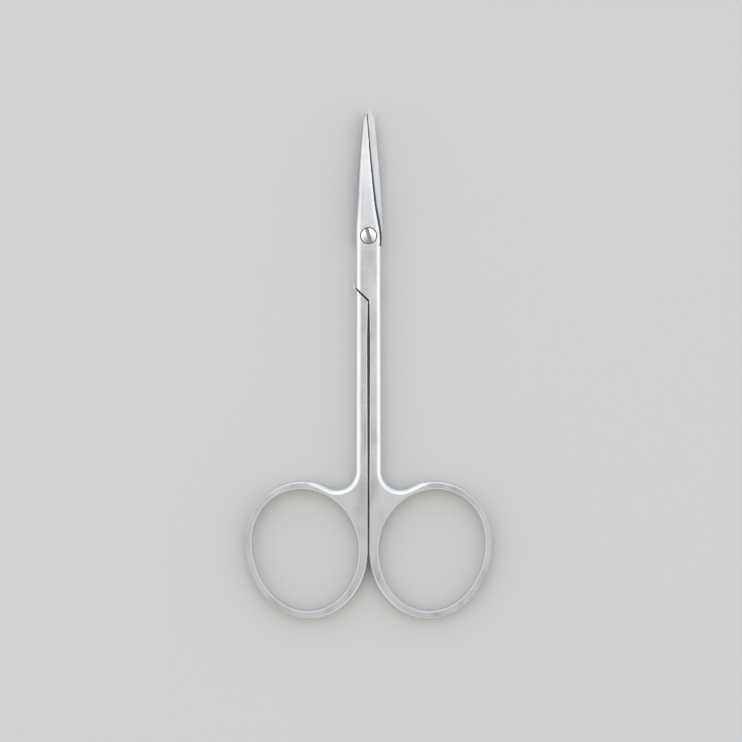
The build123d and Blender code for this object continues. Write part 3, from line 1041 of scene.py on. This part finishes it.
class StudioSettings(bpy.types.PropertyGroup):
    """Floor, lamps and camera."""

    frame_width: bpy.props.FloatProperty(
        name="Frame width", description="Width of the picture at the level of the scissors",
        default=142.6 * MM, unit="LENGTH", subtype="DISTANCE", precision=4,
    )
    centre: bpy.props.FloatVectorProperty(
        name="Picture centre", description="Point of the table in the middle of the picture",
        default=(0.46 * MM, -25.95 * MM), size=2, unit="LENGTH", subtype="XYZ", precision=5,
    )
    camera_height: bpy.props.FloatProperty(
        name="Camera height", description="Height of the camera above the scissors",
        default=0.6, unit="LENGTH", subtype="DISTANCE",
    )
    floor_colour: bpy.props.StringProperty(
        name="Floor", description="Colour of the floor, sRGB hex", default="#C9C9C7",
    )
    floor_width: bpy.props.FloatProperty(
        name="Floor width", description="Length of one side of the floor",
        default=3.0, unit="LENGTH", subtype="DISTANCE",
    )
    floor_drop: bpy.props.FloatProperty(
        name="Floor drop", description="How far the floor lies below the scissors' underside",
        default=0.02 * MM, unit="LENGTH", subtype="DISTANCE", precision=5,
    )
    side_light: bpy.props.FloatProperty(
        name="Light at the sides", description="Strength of the studio light from left and right",
        default=1.6, min=0.0,
    )
    horizon_light: bpy.props.FloatProperty(
        name="Light from the walls", description="Strength of the light from low all round",
        default=1.7, min=0.0,
    )
    corner_light: bpy.props.FloatProperty(
        name="Light in the corners", description="Strength of the light between the sides and ends",
        default=1.1, min=0.0,
    )
    far_light: bpy.props.FloatProperty(
        name="Light beyond the tips", description="Strength of the light from beyond the tips",
        default=1.7, min=0.0,
    )
    near_light: bpy.props.FloatProperty(
        name="Light behind the rings", description="Strength of the light from behind the rings",
        default=0.42, min=0.0,
    )
    near_tint: bpy.props.StringProperty(
        name="Tint behind the rings", description="Colour of the light there, sRGB hex",
        default="#E8E6E2",
    )
    far_tint: bpy.props.StringProperty(
        name="Tint beyond the tips", description="Colour of the light there, sRGB hex",
        default="#E3E6EB",
    )
    lamp_power: bpy.props.FloatProperty(
        name="Soft box", description="Power of the soft box in watts", default=0.2, min=0.0,
    )
    lamp_size: bpy.props.FloatVectorProperty(
        name="Soft box size", description="Width and height of the soft box",
        default=(0.7, 0.5), size=2, unit="LENGTH", subtype="XYZ",
    )
    lamp_place: bpy.props.FloatVectorProperty(
        name="Soft box place", description="Place of the soft box, from the picture's centre",
        default=(-0.3, 0.3, 0.45), size=3, unit="LENGTH", subtype="XYZ",
    )


class SCISSORS_OT_finish_steel(bpy.types.Operator):
    """Gives the two forged halves their satin steel"""

    bl_idname = "scissors.finish_steel"
    bl_label = "Finish the steel"

    def execute(self, context):
        finish = context.scene.scissors_finish
        satin = satin_stainless_steel(finish)
        for node in ("upper_half", "lower_half"):
            assign(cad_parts[node], satin)
        return {"FINISHED"}


class SCISSORS_OT_make_screw(bpy.types.Operator):
    """Makes the slotted pivot screw with its thread, in the place of the plain one"""

    bl_idname = "scissors.make_screw"
    bl_label = "Make the pivot screw"

    def execute(self, context):
        finish, screw = context.scene.scissors_finish, context.scene.scissors_screw
        polished = turned_stainless_steel(finish)
        assign(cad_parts["pivot_screw"], polished)
        values = {name: getattr(screw, name.lower().replace(" ", "_")) for name in SCREW_INPUTS}
        values["Head material"] = polished
        values["Slot material"] = milled_stainless_steel(finish, screw)

        piece = bpy.data.objects.new("slotted_screw", bpy.data.meshes.new("slotted_screw"))
        context.scene.collection.objects.link(piece)
        modifier = piece.modifiers.new("slotted_screw", "NODES")
        modifier.node_group = slotted_screw_tree()
        for socket in modifier.node_group.interface.items_tree:
            if socket.in_out == "INPUT":
                modifier[socket.identifier] = values[socket.name]
        evaluated = piece.evaluated_get(context.evaluated_depsgraph_get())
        mesh = bpy.data.meshes.new_from_object(evaluated)
        if not mesh.polygons:
            raise RuntimeError("the screw's tree made no faces")
        piece.modifiers.remove(modifier)
        piece.data = mesh
        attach(piece, "lower")
        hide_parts("pivot_screw")
        return {"FINISHED"}


class SCISSORS_OT_set_studio(bpy.types.Operator):
    """Lays the floor, sets the light and places the camera straight above"""

    bl_idname = "scissors.set_studio"
    bl_label = "Set the studio"

    def execute(self, context):
        scene = context.scene
        studio = scene.scissors_studio
        scene.view_settings.view_transform = "Standard"
        floor = studio_floor(studio)
        camera = overhead_camera(studio, scene.scissors_finish.parting_height)
        for item in (floor, soft_box(studio), camera):
            scene.collection.objects.link(item)
        scene.world = studio_light(studio)
        scene.camera = camera
        return {"FINISHED"}


class SCISSORS_PT_panel(bpy.types.Panel):
    """Sizes, colours and steps of the scissors"""

    bl_idname = "SCISSORS_PT_panel"
    bl_label = "Scissors"
    bl_space_type = "VIEW_3D"
    bl_region_type = "UI"
    bl_category = "Scissors"

    def draw(self, context):
        scene = context.scene
        for group, operator in (
            (scene.scissors_finish, SCISSORS_OT_finish_steel),
            (scene.scissors_screw, SCISSORS_OT_make_screw),
            (scene.scissors_studio, SCISSORS_OT_set_studio),
        ):
            column = self.layout.column(align=True)
            for name in type(group).__annotations__:
                column.prop(group, name)
            column.operator(operator.bl_idname)


CLASSES = (
    ScissorsFinish,
    PivotScrew,
    StudioSettings,
    SCISSORS_OT_finish_steel,
    SCISSORS_OT_make_screw,
    SCISSORS_OT_set_studio,
    SCISSORS_PT_panel,
)


def register():
    for cls in CLASSES:
        bpy.utils.register_class(cls)
    bpy.types.Scene.scissors_finish = bpy.props.PointerProperty(type=ScissorsFinish)
    bpy.types.Scene.scissors_screw = bpy.props.PointerProperty(type=PivotScrew)
    bpy.types.Scene.scissors_studio = bpy.props.PointerProperty(type=StudioSettings)


def unregister():
    del bpy.types.Scene.scissors_studio
    del bpy.types.Scene.scissors_screw
    del bpy.types.Scene.scissors_finish
    for cls in reversed(CLASSES):
        bpy.utils.unregister_class(cls)


def main():
    register()
    bpy.ops.scissors.finish_steel()
    bpy.ops.scissors.make_screw()
    bpy.ops.scissors.set_studio()


if __name__ == "__main__":
    main()
